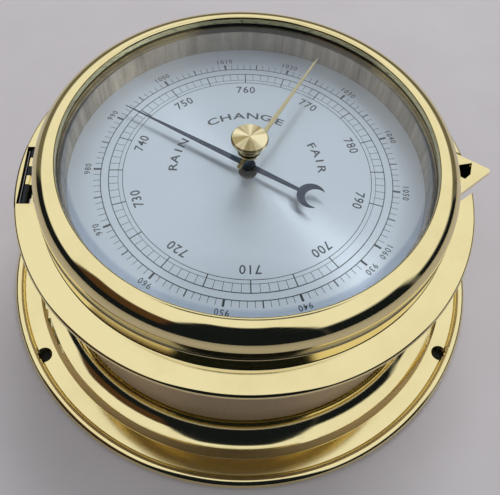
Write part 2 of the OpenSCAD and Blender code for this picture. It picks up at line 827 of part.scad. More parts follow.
module pillars() {
    color("goldenrod")
        for (p = pillars_at)
            translate([p[0], p[1], base_z + base_t])
                difference() {
                    union() {
                        cylinder(r = 3, h = plate_rise, $fn = 48);
                        cylinder(r = 3.8, h = 1.6, $fn = 48);
                        translate([0, 0, plate_rise - 1.6]) cylinder(r = 3.8, h = 1.6, $fn = 48);
                    }
                    translate([0, 0, plate_rise - 4]) cylinder(r = screw_d / 2 + fit, h = 5, $fn = 32);
                }
}

module plate_screws() {
    color("steelblue")
        for (p = pillars_at) translate([p[0], p[1], plate_top]) screw(screw_d, plate_t + 3, 1.2);
}

module lower_plate() {
    color("gold")
        difference() {
            translate([0, plate_y, plate_z]) cylinder(r = plate_r, h = plate_t, $fn = 120);
            for (p = pillars_at)
                translate([p[0], p[1], plate_z - 1])
                    cylinder(r = screw_d / 2 + fit, h = plate_t + 2, $fn = 32);
            for (p = cock_posts_at)
                translate([p[0], p[1], plate_z - 1])
                    cylinder(r = screw_d / 2 + fit, h = plate_t + 2, $fn = 32);
            for (x = shaft_feet_x)
                translate([x, shaft_y, plate_z - 1])
                    cylinder(r = screw_d / 2 + fit, h = plate_t + 2, $fn = 32);
            translate([0, 0, plate_z - 1])
                cylinder(r = arbor_d / 2 - 0.3 + run_gap, h = plate_t + 2, $fn = 48);
            translate([0, pivot_y, plate_z - 1])
                cylinder(r = sector_pivot_r + run_gap, h = plate_t + 2, $fn = 48);
            // Window for the rocking finger
            block([tail_l - finger_w / 2 - 0.8, shaft_y - 2.4, plate_z - 1],
                  [tail_l + finger_w / 2 + 0.8, shaft_y + 2.4, plate_top + 1]);
            // Windows that lighten the plate
            for (s = [-1, 1])
                translate([plate_r * 0.455 * s, plate_y + 2, plate_z - 1])
                    cylinder(r = plate_r * 0.18, h = plate_t + 2);
            translate([0, plate_r + plate_y - 12, plate_z - 1])
                cylinder(r = plate_r * 0.16, h = plate_t + 2);
        }
}

shaft_in_x = -8;
shaft_out_x = 11.6;
cock_t = 1.6;
cock_foot = 5;
shaft_pivot_r = 0.7;
shaft_feet_x = [shaft_in_x - cock_t - cock_foot / 2, shaft_out_x + cock_t + cock_foot / 2];

// Two angle pieces under the lower plate that carry the rocking shaft
module shaft_cocks() {
    color("goldenrod")
        for (s = [-1, 1]) {
            face = s < 0 ? shaft_in_x - 0.2 : shaft_out_x + 0.2;
            difference() {
                union() {
                    block([min(face, face + s * cock_t), shaft_y - 2.4, shaft_z - 2.2],
                          [max(face, face + s * cock_t), shaft_y + 2.4, plate_z]);
                    block([min(face, face + s * (cock_t + cock_foot)), shaft_y - 2.4, plate_z - 1.4],
                          [max(face, face + s * (cock_t + cock_foot)), shaft_y + 2.4, plate_z]);
                }
                translate([face - 4, shaft_y, shaft_z])
                    rotate([0, 90, 0]) cylinder(r = shaft_pivot_r + run_gap, h = 8, $fn = 48);
                translate([shaft_feet_x[s < 0 ? 0 : 1], shaft_y, plate_z - 3])
                    cylinder(r = screw_d / 2 + fit, h = 4, $fn = 32);
            }
        }
}

module cock_screws() {
    color("steelblue")
        for (x = shaft_feet_x) translate([x, shaft_y, plate_top]) screw(screw_d, plate_t + 1.2, 1.2);
}

module rocking_shaft() {
    color("lightgray")
        translate([0, shaft_y, shaft_z])
            rotate([0, 90, 0])
                union() {
                    translate([0, 0, shaft_in_x])
                        cylinder(r = 1.5, h = shaft_out_x - shaft_in_x, $fn = 48);
                    translate([0, 0, shaft_in_x - cock_t - 0.1])
                        cylinder(r = shaft_pivot_r, h = shaft_out_x - shaft_in_x + 2 * cock_t + 0.2, $fn = 48);
                }
}

module rocking_finger() {
    color("gold")
        difference() {
            union() {
                block([tail_l - finger_w / 2, shaft_y - finger_t / 2, shaft_z],
                      [tail_l + finger_w / 2, shaft_y + finger_t / 2, finger_top]);
                translate([tail_l - 1.4, shaft_y, shaft_z]) rotate([0, 90, 0])
                    cylinder(r = 2.3, h = 2.8, $fn = 48);
            }
            translate([tail_l - 3, shaft_y, shaft_z]) rotate([0, 90, 0])
                cylinder(r = 1.52, h = 6, $fn = 48);
        }
}

// The lifting arm, a strip of brass and steel that bends a little with warmth
module bimetal_arm() {
    color("silver")
        difference() {
            union() {
                block([-2, shaft_y, shaft_z - lift_t], [2, lift_y + 3, shaft_z - lift_t + 0.8]);
                translate([-2, shaft_y, shaft_z]) rotate([0, 90, 0]) cylinder(r = 2.3, h = 4, $fn = 48);
            }
            translate([-3, shaft_y, shaft_z]) rotate([0, 90, 0]) cylinder(r = 1.52, h = 6, $fn = 48);
            // The hub is flat below, so that it clears the post
            block([-3, shaft_y + 1.6, shaft_z - 3], [3, shaft_y + 9, shaft_z - lift_t]);
        }
}

sector_pivot_r = 0.8;
sector_hub_r = 2;

// The toothed sector: rim, three spokes, hub and tail. Its middle tooth is in mesh at rest.
module sector_gear() {
    root = sector_r - tooth_down;
    pitch = 360 / sector_n;
    rim_w = 2.2;
    half = (sector_half_n + 0.5) * pitch;
    teeth = [for (i = [-sector_half_n:sector_half_n]) each tooth(sector_r, i * pitch)];
    inner = [for (a = [half:-half / 12:-half - 0.001]) polar(root - rim_w, a)];
    color("gold")
        translate([0, pivot_y, sector_z])
            difference() {
                union() {
                    linear_extrude(sector_t)
                        polygon(concat([polar(root, -half)], teeth, [polar(root, half)], inner));
                    for (a = [-half + 2.2, 0, half - 2.2])
                        rotate([0, 0, -a]) block([-0.9, 0, 0], [0.9, root - rim_w / 2, sector_t]);
                    cylinder(r = 4, h = sector_t);
                    block([0, -1.3, 0], [tail_l, 1.3, sector_t]);
                    translate([tail_l, 0, 0]) cylinder(r = 1.3, h = sector_t, $fn = 48);
                }
                translate([0, 0, -1]) cylinder(r = sector_hub_r, h = sector_t + 2, $fn = 48);
                translate([tail_l, 0, -1]) cylinder(r = tail_pin_r, h = sector_t + 2, $fn = 32);
            }
}

module tail_pin() {
    color("lightgray")
        translate([tail_l, pivot_y, tail_pin_z])
            cylinder(r = tail_pin_r, h = sector_z + sector_t - tail_pin_z, $fn = 32);
}

module sector_arbor() {
    color("lightgray")
        translate([0, pivot_y, 0])
            union() {
                translate([0, 0, plate_z]) cylinder(r = sector_pivot_r, h = cock_top - plate_z, $fn = 48);
                translate([0, 0, plate_top + 0.3])
                    cylinder(r = sector_hub_r, h = cock_z - plate_top - 0.6, $fn = 48);
            }
}

// The bridge over the gears, a tee of plate with bearings for both arbors
module upper_bridge() {
    foot_y = cock_posts_at[2][1];
    side = cock_posts_at[0];
    color("gold")
        difference() {
            translate([0, 0, cock_z])
                linear_extrude(plate_t)
                    union() {
                        translate([-4, foot_y]) square([8, side[1] - foot_y]);
                        translate([0, foot_y]) circle(r = 4);
                        translate([-side[0], side[1] - 4]) square([2 * side[0], 8]);
                        for (s = [-1, 1]) translate([side[0] * s, side[1]]) circle(r = 4);
                        circle(r = 6);
                    }
            translate([0, 0, cock_z - 1]) cylinder(r = arbor_d / 2 + run_gap, h = plate_t + 2, $fn = 48);
            translate([0, pivot_y, cock_z - 1])
                cylinder(r = sector_pivot_r + run_gap, h = plate_t + 2, $fn = 48);
            for (p = cock_posts_at)
                translate([p[0], p[1], cock_z - 1])
                    cylinder(r = screw_d / 2 + fit, h = plate_t + 2, $fn = 32);
        }
}

module bridge_posts() {
    color("goldenrod")
        for (p = cock_posts_at)
            translate([p[0], p[1], plate_top])
                difference() {
                    cylinder(r = 2.6, h = cock_z - plate_top, $fn = 48);
                    translate([0, 0, -1]) cylinder(r = screw_d / 2 + fit,
                        h = cock_z - plate_top + 2, $fn = 32);
                }
}

// Long screws that clamp the bridge and its posts to the lower plate
module bridge_screws() {
    color("steelblue")
        for (p = cock_posts_at) translate([p[0], p[1], cock_top]) screw(screw_d, cock_top - plate_z, 1.2);
}

// The pointer's arbor, stepped down to its lower pivot and to the needle's seat
module pointer_arbor() {
    color("lightgray")
        union() {
            translate([0, 0, plate_z]) cylinder(r = arbor_d / 2 - 0.3, h = 4, $fn = 48);
            translate([0, 0, plate_top + 0.3])
                cylinder(r = arbor_d / 2, h = needle_z - 1.3 - plate_top, $fn = 48);
            translate([0, 0, needle_z - 1]) cylinder(r = arbor_d / 2 - 0.22, h = 1.9, $fn = 48);
        }
}

module pinion() {
    pitch = 360 / pinion_n;
    color("lightgray")
        translate([0, 0, sector_z - 0.5])
            difference() {
                linear_extrude(sector_t + 1)
                    polygon([for (i = [0:pinion_n - 1]) each tooth(pinion_r, 180 + (i + 0.5) * pitch)]);
                translate([0, 0, -1]) cylinder(r = arbor_d / 2 + 0.01, h = sector_t + 3, $fn = 48);
            }
}

spring_z = cock_z - 1.9;
collet_r = 2.2;
spring_out = 9;

module hairspring_collet() {
    color("gold") ring(arbor_d / 2 + 0.01, collet_r, spring_z - 0.2, 1.3, $fn = 48);
}

// A flat spiral whose outer end reaches the stud
module hairspring() {
    turns = 5;
    blade = 0.16;
    steps = turns * 30;
    r0 = collet_r + 0.12 + blade / 2;
    growth = (spring_out - r0) / turns;
    function at(i, side) =
        let (a = 360 * i / 30, r = r0 + growth * a / 360 + side * blade / 2) [r * cos(a), r * sin(a)];
    color("steelblue")
        translate([0, 0, spring_z])
            linear_extrude(0.8)
                polygon(concat([for (i = [0:steps]) at(i, 1)], [for (i = [steps:-1:0]) at(i, -1)]));
}

module hairspring_stud() {
    color("gold")
        translate([spring_out + 1.1, 0, spring_z - 0.4])
            cylinder(r = 1, h = cock_z - spring_z + 0.4, $fn = 48);
}

case_body();
back_cover();
back_cover_screws();
movement_base();
base_screws();
dial_carrier();
carrier_screws();
dial();
sight_ring();
hinge_case_leaf();
case_leaf_screws();
hinge_pin();
latch_bracket();
latch_pin();
latch_spring();
bezel();
glass();
glass_gasket();
retaining_ring();
hinge_door_leaf();
door_leaf_screws();
set_hand_bush();
bush_nut();
knob();
set_hand();
set_hand_washer();
latch_lever();
calibration_screw();
capsule_stack();
capsule_post();
pillars();
lower_plate();
plate_screws();
shaft_cocks();
cock_screws();
rocking_shaft();
rocking_finger();
bimetal_arm();
sector_gear();
sector_arbor();
tail_pin();
upper_bridge();
bridge_posts();
bridge_screws();
pointer_arbor();
pinion();
hairspring();
hairspring_collet();
hairspring_stud();
needle_hub();
pressure_needle();
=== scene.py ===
import json
import math

import bmesh
import bpy
from mathutils import Matrix, Vector

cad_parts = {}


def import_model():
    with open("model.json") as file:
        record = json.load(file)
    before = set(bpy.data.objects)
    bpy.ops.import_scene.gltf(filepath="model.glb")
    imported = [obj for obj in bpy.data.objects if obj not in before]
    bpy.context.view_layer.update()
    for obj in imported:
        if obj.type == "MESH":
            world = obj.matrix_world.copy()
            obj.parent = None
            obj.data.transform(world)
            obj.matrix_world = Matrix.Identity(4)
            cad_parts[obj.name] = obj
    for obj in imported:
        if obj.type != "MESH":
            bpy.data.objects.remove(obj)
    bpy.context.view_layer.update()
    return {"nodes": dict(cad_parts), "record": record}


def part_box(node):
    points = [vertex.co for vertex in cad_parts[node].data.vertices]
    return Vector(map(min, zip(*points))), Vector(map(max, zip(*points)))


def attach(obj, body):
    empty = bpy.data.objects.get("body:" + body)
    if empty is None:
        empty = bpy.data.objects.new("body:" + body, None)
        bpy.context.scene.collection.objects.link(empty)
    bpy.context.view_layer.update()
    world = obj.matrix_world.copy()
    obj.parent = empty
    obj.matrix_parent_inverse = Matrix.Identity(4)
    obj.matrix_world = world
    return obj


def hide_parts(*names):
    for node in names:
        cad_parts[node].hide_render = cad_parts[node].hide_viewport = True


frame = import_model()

MM = 0.001


# Camera, fitted to the circles of the photograph

CAMERA_POS = (-8.92, -131.8, 221.0)     # mm
CAMERA_PITCH = 58.0                     # degrees below the horizon
CAMERA_YAW = 5.05                       # degrees from +Y towards +X
CAMERA_ROLL = 4.47
FOCAL_PX = 624.6
IMAGE_W = 500
SENSOR_MM = 36.0

# Sizes on the dial, in mm

DIAL_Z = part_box("dial")[1].z / MM       # face of the dial
INK = 0.03                              # height of the printing
INK_FOOT, INK_TOP = DIAL_Z - INK / 3, DIAL_Z + INK
R_HPA = 48.5                            # circle that carries the outer ticks
R_OUTER = 45.9                          # outer circle of the inner scale
R_MID = 42.8                            # foot of its single ticks
R_INNER = 41.4                          # foot of every fifth tick
MMHG = range(700, 791)
MMHG_START, MMHG_STEP = 144.0, 3.6      # bearing of the first mark, and from mark to mark, in degrees
HPA = range(930, 1061)
HPA_START, HPA_STEP = 135.4, 2.7002


def camera():
    pitch, yaw, roll = (math.radians(a) for a in (CAMERA_PITCH, CAMERA_YAW, CAMERA_ROLL))
    forward = Vector((math.sin(yaw) * math.cos(pitch), math.cos(yaw) * math.cos(pitch), -math.sin(pitch)))
    level = Vector((math.cos(yaw), -math.sin(yaw), 0))
    upright = level.cross(forward)
    right = level * math.cos(roll) + upright * math.sin(roll)
    up = upright * math.cos(roll) - level * math.sin(roll)
    turn = Matrix((right, up, -forward)).transposed()
    data = bpy.data.cameras.new("camera")
    data.sensor_width = SENSOR_MM
    data.lens = FOCAL_PX / IMAGE_W * SENSOR_MM
    data.clip_start = 0.01
    cam = bpy.data.objects.new("camera", data)
    cam.matrix_world = Matrix.Translation(Vector(CAMERA_POS) * MM) @ turn.to_4x4()
    bpy.context.scene.collection.objects.link(cam)
    bpy.context.scene.camera = cam


# Material helpers

def material(name):
    """A new material, its node tree and its shader."""
    mat = bpy.data.materials.new(name)
    mat.use_nodes = True
    tree = mat.node_tree
    shader = tree.nodes["Principled BSDF"]
    return mat, tree, shader


def node(tree, kind, inputs=None, **settings):
    made = tree.nodes.new("ShaderNode" + kind)
    for key, value in settings.items():
        setattr(made, key, value)
    for key, value in (inputs or {}).items():
        if isinstance(value, bpy.types.NodeSocket):
            tree.links.new(value, made.inputs[key])
        else:
            made.inputs[key].default_value = value
    return made


def object_coords(tree):
    return node(tree, "TexCoord").outputs["Object"]


def ramp(tree, factor, stops):
    made = node(tree, "ValToRGB", {"Fac": factor})
    elements = made.color_ramp.elements
    for _ in range(len(stops) - 2):
        elements.new(0.5)
    for element, (place, colour) in zip(elements, stops):
        element.position = place
        element.color = (*colour, 1)
    return made.outputs[0]


def polar(tree):
    """Radius, angle and height round the Z axis, in metres and radians."""
    parts = node(tree, "SeparateXYZ", {"Vector": object_coords(tree)})
    x, y = parts.outputs[0], parts.outputs[1]
    angle = node(tree, "Math", {0: y, 1: x}, operation="ARCTAN2").outputs[0]
    flat = node(tree, "CombineXYZ", {0: x, 1: y})
    radius = node(tree, "VectorMath", {0: flat.outputs[0]}, operation="LENGTH").outputs["Value"]
    return radius, angle, parts.outputs[2]


# Materials

GOLD = (0.87, 0.74, 0.39)
TARNISH = (0.66, 0.51, 0.22)
BLOTCH = 0.35                           # most that the tarnish covers
GLASS_BEVEL_LIGHT = (56.8, 57.6)                # mm, radii where the glass's painted bluish rim, light of its bevelled edge, starts and is full


def turned_metal(name, colour, tarnish, rough, ring_scale=2500.0, bump=0.02):
    """A metal turned on a lathe: fine rings, faint blotches of tarnish and a little wear."""
    mat, tree, shader = material(name)
    radius, _, height = polar(tree)
    rings = node(tree, "CombineXYZ", {0: radius, 2: height}).outputs[0]
    fine = node(tree, "TexNoise", {"Vector": rings, "Scale": ring_scale, "Detail": 3.0, "Roughness": 0.6})
    blotches = node(tree, "TexNoise", {"Vector": object_coords(tree), "Scale": 45.0, "Detail": 5.0,
                                       "Roughness": 0.65})
    amount = ramp(tree, blotches.outputs["Fac"], [(0.45, (0, 0, 0)), (0.8, (BLOTCH,) * 3)])
    mix = node(tree, "Mix", data_type="RGBA")
    tree.links.new(amount, mix.inputs["Factor"])
    mix.inputs[6].default_value = (*colour, 1)
    mix.inputs[7].default_value = (*tarnish, 1)
    tree.links.new(mix.outputs[2], shader.inputs["Base Color"])
    shader.inputs["Metallic"].default_value = 1.0
    spread = node(tree, "MapRange", {"Value": fine.outputs["Fac"], "From Min": 0.3, "From Max": 0.7,
                                     "To Min": rough * 0.8, "To Max": rough * 1.3})
    tree.links.new(spread.outputs[0], shader.inputs["Roughness"])
    relief = node(tree, "Bump", {"Height": fine.outputs["Fac"], "Strength": bump, "Distance": 0.0002})
    tree.links.new(relief.outputs[0], shader.inputs["Normal"])
    return mat


def patch(mat, colour, rough, height, distance, centre=(0.0, 0.0), blur=0.4):
    """A duller patch on a finish, or painted shade: between two heights, and two distances from an upright
    axis, in mm.
    """
    tree = mat.node_tree
    shader = tree.nodes["Principled BSDF"]
    place = object_coords(tree)
    parts = node(tree, "SeparateXYZ", {"Vector": place})
    east = node(tree, "Math", {0: parts.outputs[0], 1: centre[0] * MM}, operation="SUBTRACT").outputs[0]
    north = node(tree, "Math", {0: parts.outputs[1], 1: centre[1] * MM}, operation="SUBTRACT").outputs[0]
    flat = node(tree, "CombineXYZ", {0: east, 1: north}).outputs[0]
    away = node(tree, "VectorMath", {0: flat}, operation="LENGTH").outputs["Value"]
    amount = None
    for value, (low, high) in ((parts.outputs[2], height), (away, distance)):
        for edge, sign in ((low, 1), (high, -1)):
            step = node(tree, "MapRange", {"Value": value, "From Min": (edge - sign * blur / 2) * MM,
                                           "From Max": (edge + sign * blur / 2) * MM}).outputs[0]
            amount = step if amount is None else node(tree, "Math", {0: amount, 1: step},
                                                      operation="MULTIPLY").outputs[0]
    tone = node(tree, "Mix", data_type="RGBA")
    tree.links.new(amount, tone.inputs["Factor"])
    tree.links.new(shader.inputs["Base Color"].links[0].from_socket, tone.inputs[6])
    specks = node(tree, "TexNoise", {"Vector": place, "Scale": 900.0, "Detail": 4.0, "Roughness": 0.6})
    worn_or_shaded = ramp(tree, specks.outputs["Fac"], [(0.3, tuple(c * 0.7 for c in colour)), (0.42, colour)])
    tree.links.new(worn_or_shaded, tone.inputs[7])
    tree.links.new(tone.outputs[2], shader.inputs["Base Color"])
    blend = node(tree, "Mix", data_type="FLOAT")
    tree.links.new(amount, blend.inputs["Factor"])
    if shader.inputs["Roughness"].links:
        tree.links.new(shader.inputs["Roughness"].links[0].from_socket, blend.inputs[2])
    else:
        blend.inputs[2].default_value = shader.inputs["Roughness"].default_value
    blend.inputs[3].default_value = rough
    tree.links.new(blend.outputs[0], shader.inputs["Roughness"])


def brushed_wall(name, pale, dark, rough):
    """A ring brushed up and down: soft upright streaks of uneven polish."""
    mat, tree, shader = material(name)
    _, angle, height = polar(tree)
    around = node(tree, "Math", {0: angle, 1: 9.0}, operation="MULTIPLY").outputs[0]
    upward = node(tree, "Math", {0: height, 1: 12.0}, operation="MULTIPLY").outputs[0]
    streaks = node(tree, "TexNoise", {"Vector": node(tree, "CombineXYZ", {0: around, 1: upward}).outputs[0],
                                      "Scale": 1.6, "Detail": 6.0, "Roughness": 0.7})
    colour = ramp(tree, streaks.outputs["Fac"], [(0.35, dark), (0.65, pale)])
    tree.links.new(colour, shader.inputs["Base Color"])
    shader.inputs["Metallic"].default_value = 1.0
    shader.inputs["Roughness"].default_value = rough
    relief = node(tree, "Bump", {"Height": streaks.outputs["Fac"], "Strength": 0.1, "Distance": 0.0002})
    tree.links.new(relief.outputs[0], shader.inputs["Normal"])
    return mat


def sunburst(name, pale, dark, rough):
    """A turned cone with painted sheen: lighter and darker rays fanning out from its middle, painted into
    its colour.
    """
    mat, tree, shader = material(name)
    _, angle, _ = polar(tree)
    east = node(tree, "Math", {0: angle}, operation="COSINE").outputs[0]
    north = node(tree, "Math", {0: angle}, operation="SINE").outputs[0]
    around = node(tree, "CombineXYZ", {0: east, 1: north}).outputs[0]
    sheen_rays = node(tree, "TexNoise", {"Vector": around, "Scale": 1.5, "Detail": 1.5, "Roughness": 0.5})
    colour = ramp(tree, sheen_rays.outputs["Fac"], [(0.4, dark), (0.56, pale)])
    tree.links.new(colour, shader.inputs["Base Color"])
    shader.inputs["Metallic"].default_value = 1.0
    shader.inputs["Roughness"].default_value = rough
    return mat


def silvered_dial():
    """Silvered plate, spun round its centre, so that the light fans out from the middle."""
    mat, tree, shader = material("silvered_dial")
    radius, _, _ = polar(tree)
    rings = node(tree, "CombineXYZ", {0: radius}).outputs[0]
    fine = node(tree, "TexNoise", {"Vector": rings, "Scale": 4000.0, "Detail": 2.0})
    colour = ramp(tree, fine.outputs["Fac"], [(0.3, (0.63, 0.69, 0.745)), (0.7, (0.71, 0.77, 0.825))])
    tree.links.new(colour, shader.inputs["Base Color"])
    shader.inputs["Metallic"].default_value = 0.6
    shader.inputs["Roughness"].default_value = 0.38
    shader.inputs["Anisotropic"].default_value = 0.9
    shader.inputs["Anisotropic Rotation"].default_value = 0.25
    tangent = node(tree, "Tangent", direction_type="RADIAL", axis="Z")
    tree.links.new(tangent.outputs[0], shader.inputs["Tangent"])
    return mat


def clear_glass():
    mat, tree, shader = material("clear_glass")
    radius, _, _ = polar(tree)
    inside, outside = GLASS_BEVEL_LIGHT
    # Painted light: towards its rim the glass turns bluish, standing for the light of its bevelled edge
    bevel_light = node(tree, "MapRange", {"Value": radius, "From Min": inside * MM, "From Max": outside * MM})
    painted_bevel_light = ramp(tree, bevel_light.outputs[0], [(0.0, (0.96, 0.985, 1.0)), (1.0, (0.7, 0.76, 0.85))])
    tree.links.new(painted_bevel_light, shader.inputs["Base Color"])
    shader.inputs["Roughness"].default_value = 0.0
    shader.inputs["IOR"].default_value = 1.45
    shader.inputs["Transmission Weight"].default_value = 1.0
    return mat


def black_rubber():
    mat, tree, shader = material("black_rubber")
    grain = node(tree, "TexNoise", {"Vector": object_coords(tree), "Scale": 900.0})
    colour = ramp(tree, grain.outputs["Fac"], [(0.3, (0.012, 0.012, 0.014)), (0.7, (0.03, 0.03, 0.032))])
    tree.links.new(colour, shader.inputs["Base Color"])
    shader.inputs["Roughness"].default_value = 0.7
    return mat


def blued_steel():
    mat, tree, shader = material("blued_steel")
    grain = node(tree, "TexNoise", {"Vector": object_coords(tree), "Scale": 700.0, "Detail": 3.0})
    colour = ramp(tree, grain.outputs["Fac"], [(0.3, (0.012, 0.022, 0.05)), (0.7, (0.03, 0.05, 0.09))])
    tree.links.new(colour, shader.inputs["Base Color"])
    shader.inputs["Metallic"].default_value = 0.8
    shader.inputs["Roughness"].default_value = 0.32
    return mat


def dial_ink():
    mat, tree, shader = material("dial_ink")
    grain = node(tree, "TexNoise", {"Vector": object_coords(tree), "Scale": 1500.0})
    colour = ramp(tree, grain.outputs["Fac"], [(0.3, (0.035, 0.042, 0.05)), (0.7, (0.06, 0.068, 0.078))])
    tree.links.new(colour, shader.inputs["Base Color"])
    shader.inputs["Roughness"].default_value = 0.6
    return mat


def finishes():
    """A finish for each slot of the record."""
    made = {
        "polished_brass": turned_metal("polished_brass", GOLD, TARNISH, rough=0.09),
        "door_brass": turned_metal("door_brass", GOLD, TARNISH, rough=0.07),
        "knob_brass": sunburst("knob_brass", (0.95, 0.83, 0.52), (0.42, 0.33, 0.15), rough=0.28),
        "satin_brass": brushed_wall("satin_brass", (0.6, 0.48, 0.34), (0.3, 0.22, 0.14), rough=0.25),
        "movement_brass": turned_metal("movement_brass", (0.72, 0.56, 0.28), TARNISH, rough=0.3,
                                       ring_scale=1800.0, bump=0.08),
        "screw_brass": turned_metal("screw_brass", (0.72, 0.55, 0.27), TARNISH, rough=0.25),
        "blue_steel": blued_steel(),
        "steel": turned_metal("steel", (0.58, 0.58, 0.6), (0.3, 0.29, 0.28), rough=0.28),
        "capsule_metal": turned_metal("capsule_metal", (0.7, 0.69, 0.66), (0.4, 0.38, 0.34), rough=0.3,
                                      ring_scale=1500.0),
        "dial_silver": silvered_dial(),
        "clear_glass": clear_glass(),
        "black_rubber": black_rubber(),
    }
    # The case's plain wall
    patch(made["polished_brass"], (0.64, 0.52, 0.4), 0.62, height=(11.5, 51.0), distance=(69.0, 70.6))
    # The door's wall under the roll, darkened with painted shade
    patch(made["door_brass"], (0.27, 0.23, 0.14), 0.16, height=(61.3, 64.9), distance=(67.0, 68.6))
    # The walls of the slot round the hinge, nearly black with painted shade
    patch(made["door_brass"], (0.02, 0.018, 0.015), 0.7, height=(50.0, 54.6), distance=(0.0, 13.2),
          centre=(-73.0, 0.0), blur=0.1)
    # The hinge's steel, nearly black with painted shade, its barrel's end in the slot too
    patch(made["steel"], (0.03, 0.034, 0.038), 0.4, height=(50.0, 56.0), distance=(0.0, 13.8),
          centre=(-73.0, 2.0), blur=0.1)
    # The pocket in the latch's tab, nearly black with painted shade
    patch(made["polished_brass"], (0.006, 0.005, 0.004), 0.9, height=(53.0, 54.88), distance=(0.0, 4.6),
          centre=(75.1, 2.8), blur=0.1)
    return made


def dress(materials):
    """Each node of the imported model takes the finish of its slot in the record."""
    frame["nodes"]["glass"].visible_shadow = False      # light reaches the dial through it
    slots = {part["node"]: part["material_slot"] for part in frame["record"]["subparts"]}
    for name, obj in frame["nodes"].items():
        obj.data.materials.clear()
        obj.data.materials.append(materials[slots[name]])


# Door, in mm: the brass shell that carries the glass, with the rolled edge that its CAD solid simplifies

DOOR_Z, DOOR_TOP, GLASS_TOP = 52.4, 54.8, 69.2
# The section's arcs, each as the radius and height of its middle, and its own radius
DOOR_EDGE = (75.6, 53.6, 1.2)
FOOT_FILLET = (69.0, 55.2, 0.4)
FOOT_ROUND = (68.0, 61.0, 0.6)
WALL_ROUND = (67.9, 62.35, 0.4)
ROLL = (61.3, 64.6, 7.0)
LIP_ROUND = (61.1, 70.7, 0.9)
# The thin groove under the wall, as radius and height
GROOVE = [(67.85, 61.65), (67.8, 61.8), (67.9, 61.95)]
INNER_R, OPENING_R = 62.6, 60.2
DOOR_STEPS = 288
LATCH_TURN = 1.703                      # degrees, middle of the notch round the latch's tab
NOTCH = [(69.4, -12.99), (87.47, 0.0), (69.4, 12.99)]
HINGE_SLOT = (-74.9, -70.3, 12.0)       # two ends along X, and half its length
LEAF_POCKET = (-71.3, -65.9, -7.3, 11.7)
LEAF_POCKET_TOP = 53.65
CUT_SPARE = 1.0                         # a cutter's reach past the face that it opens
SHARP_EDGE = 32                         # degrees between faces from which an edge isn't shaded round


def bow(cx, cz, r, start, end, steps):
    """Points on an arc of a section, its angles in degrees from the radius outwards."""
    turns = [math.radians(start + (end - start) * i / steps) for i in range(steps + 1)]
    return [(cx + r * math.cos(a), cz + r * math.sin(a)) for a in turns]


def door_section():
    return ([(INNER_R, DOOR_Z)] + bow(*DOOR_EDGE, -90, 90, 14)
            + bow(*FOOT_FILLET, -90, -180, 4) + bow(*FOOT_ROUND, 0, 90, 6)
            + GROOVE + bow(*WALL_ROUND, -60, 0, 4)
            + bow(*ROLL, 0, 88, 26) + bow(*LIP_ROUND, 92, 180, 10)
            + [(OPENING_R, GLASS_TOP), (INNER_R, GLASS_TOP)])


def lathe(section, steps):
    mesh = bmesh.new()
    rows = []
    for i in range(steps):
        a = 2 * math.pi * i / steps
        rows.append([mesh.verts.new((r * math.cos(a) * MM, r * math.sin(a) * MM, z * MM))
                     for r, z in section])
    for i in range(steps):
        near, far = rows[i], rows[(i + 1) % steps]
        for k in range(len(section)):
            m = (k + 1) % len(section)
            mesh.faces.new((near[k], far[k], far[m], near[m]))
    bmesh.ops.recalc_face_normals(mesh, faces=mesh.faces)
    return mesh


def cutter(outline, z0, z1):
    """A closed prism over an outline in mm, for cutting."""
    mesh = bmesh.new()
    low = [mesh.verts.new((x * MM, y * MM, z0 * MM)) for x, y in outline]
    high = [mesh.verts.new((x * MM, y * MM, z1 * MM)) for x, y in outline]
    mesh.faces.new(low[::-1])
    mesh.faces.new(high)
    for i in range(len(outline)):
        j = (i + 1) % len(outline)
        mesh.faces.new((low[i], low[j], high[j], high[i]))
    bmesh.ops.recalc_face_normals(mesh, faces=mesh.faces)
    return mesh


def plain_object(name, mesh):
    data = bpy.data.meshes.new(name)
    mesh.to_mesh(data)
    mesh.free()
    obj = bpy.data.objects.new(name, data)
    bpy.context.scene.collection.objects.link(obj)
    return obj


def box_outline(x0, x1, y0, y1):
    return [(x0, y0), (x1, y0), (x1, y1), (x0, y1)]


def shade_round(data, mat):
    for face in data.polygons:
        face.use_smooth = True
    data.set_sharp_from_angle(angle=math.radians(SHARP_EDGE))
    data.materials.clear()
    data.materials.append(mat)


def door_shell(mat):
    """The door's brass turned in one piece, then cut for the latch's tab, the hinge and its leaf."""
    shell = plain_object("door_shell", lathe(door_section(), DOOR_STEPS))
    turn = math.radians(LATCH_TURN)
    notch = [(x * math.cos(turn) - y * math.sin(turn), x * math.sin(turn) + y * math.cos(turn))
             for x, y in NOTCH]
    x0, x1, half = HINGE_SLOT
    low, high = DOOR_Z - CUT_SPARE, DOOR_TOP + CUT_SPARE
    cuts = [cutter(notch, low, high),
            cutter(box_outline(x0, x1, -half, half), low, high),
            cutter(box_outline(*LEAF_POCKET), low, LEAF_POCKET_TOP)]
    tools = [plain_object("door_cut", mesh) for mesh in cuts]
    for tool in tools:
        cut = shell.modifiers.new("cut", "BOOLEAN")
        cut.operation = "DIFFERENCE"
        cut.object = tool
    bpy.context.view_layer.update()
    data = bpy.data.meshes.new_from_object(shell.evaluated_get(bpy.context.evaluated_depsgraph_get()))
    shell.modifiers.clear()
    shell.data = data
    for tool in tools:
        bpy.data.objects.remove(tool)
    shade_round(data, mat)
    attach(shell, "door")
    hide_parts("bezel")


# Hinge, in mm

HINGE_X, HINGE_Z, BARREL_R = -73.15, 52.5, 1.5
BARREL_START, BARREL_END = -7.3, -11.7  # along Y
BARREL_EDGE = 0.2                       # bevel of its end


